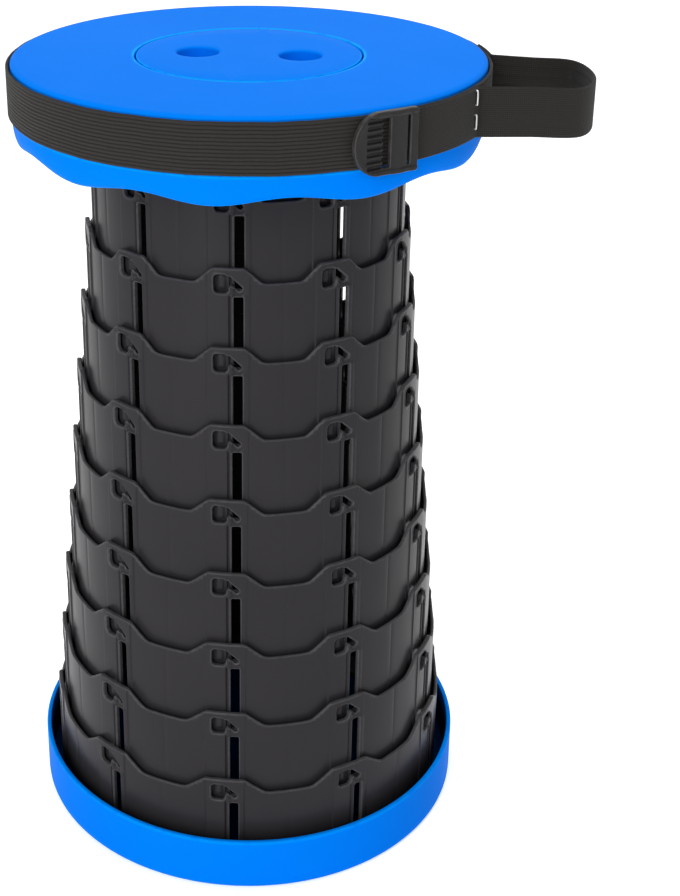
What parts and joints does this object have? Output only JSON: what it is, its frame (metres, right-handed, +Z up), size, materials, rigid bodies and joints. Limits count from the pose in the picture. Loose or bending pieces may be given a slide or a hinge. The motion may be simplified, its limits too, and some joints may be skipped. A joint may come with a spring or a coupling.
{
  "type": "camp stool",
  "caption": "Telescopic camp stool: a round seat on nested locking rings above a base tray, with a webbing strap, buckle and carrying loop round the seat.",
  "frame": {"origin": "centre of the base tray's flat underside, on the floor", "axes": "+Z up along the tower's axis; +X towards the handle loop; -Y two degrees from the middle of one column of crowns and lugs"},
  "size_m": [0.3039, 0.2518, 0.4414],
  "materials": {
    "blue_plastic": "moulded, satin, fine grain on the seat's top",
    "black_plastic": "moulded, glossy",
    "webbing": "woven, ribbed lengthwise",
    "buckle_plastic": "moulded, satin",
    "foot_rubber": "matt",
    "zinc_steel": "bright zinc"
  },
  "bodies": {
    "base": {"base_tray": "blue_plastic", "ring_10": "black_plastic", "base_screw_1": "zinc_steel", "base_screw_2": "zinc_steel", "base_screw_3": "zinc_steel", "base_screw_4": "zinc_steel", "base_screw_5": "zinc_steel", "base_screw_6": "zinc_steel", "foot_pad_1": "foot_rubber", "foot_pad_2": "foot_rubber", "foot_pad_3": "foot_rubber", "foot_pad_4": "foot_rubber", "foot_pad_5": "foot_rubber", "foot_pad_6": "foot_rubber"},
    "ring_09_body": {"ring_09": "black_plastic"},
    "ring_08_body": {"ring_08": "black_plastic"},
    "ring_07_body": {"ring_07": "black_plastic"},
    "ring_06_body": {"ring_06": "black_plastic"},
    "ring_05_body": {"ring_05": "black_plastic"},
    "ring_04_body": {"ring_04": "black_plastic"},
    "ring_03_body": {"ring_03": "black_plastic"},
    "ring_02_body": {"ring_02": "black_plastic"},
    "seat": {"ring_01": "black_plastic", "seat_shell": "blue_plastic", "centre_cap": "blue_plastic", "seat_screw_1": "zinc_steel", "seat_screw_2": "zinc_steel", "seat_screw_3": "zinc_steel", "seat_screw_4": "zinc_steel", "seat_screw_5": "zinc_steel", "seat_screw_6": "zinc_steel"},
    "strap": {"strap_band": "webbing", "handle_strap": "webbing", "buckle": "buckle_plastic", "staple_upper": "zinc_steel", "staple_lower": "zinc_steel"}
  },
  "joints": [
    {"name": "ring_09_slide", "type": "slide", "parent": "base", "child": "ring_09_body", "axis": [0, 0, 1], "range_m": [-0.0405, 0]},
    {"name": "ring_08_slide", "type": "slide", "parent": "ring_09_body", "child": "ring_08_body", "axis": [0, 0, 1], "range_m": [-0.0405, 0]},
    {"name": "ring_07_slide", "type": "slide", "parent": "ring_08_body", "child": "ring_07_body", "axis": [0, 0, 1], "range_m": [-0.0405, 0]},
    {"name": "ring_06_slide", "type": "slide", "parent": "ring_07_body", "child": "ring_06_body", "axis": [0, 0, 1], "range_m": [-0.0405, 0]},
    {"name": "ring_05_slide", "type": "slide", "parent": "ring_06_body", "child": "ring_05_body", "axis": [0, 0, 1], "range_m": [-0.0405, 0]},
    {"name": "ring_04_slide", "type": "slide", "parent": "ring_05_body", "child": "ring_04_body", "axis": [0, 0, 1], "range_m": [-0.0405, 0]},
    {"name": "ring_03_slide", "type": "slide", "parent": "ring_04_body", "child": "ring_03_body", "axis": [0, 0, 1], "range_m": [-0.0405, 0]},
    {"name": "ring_02_slide", "type": "slide", "parent": "ring_03_body", "child": "ring_02_body", "axis": [0, 0, 1], "range_m": [-0.0405, 0]},
    {"name": "seat_slide", "type": "slide", "parent": "ring_02_body", "child": "seat", "axis": [0, 0, 1], "range_m": [-0.0405, 0]},
    {"name": "strap_slide", "type": "slide", "parent": "seat", "child": "strap", "axis": [0, 0, 1], "range_m": [-0.025, 0]}
  ]
}
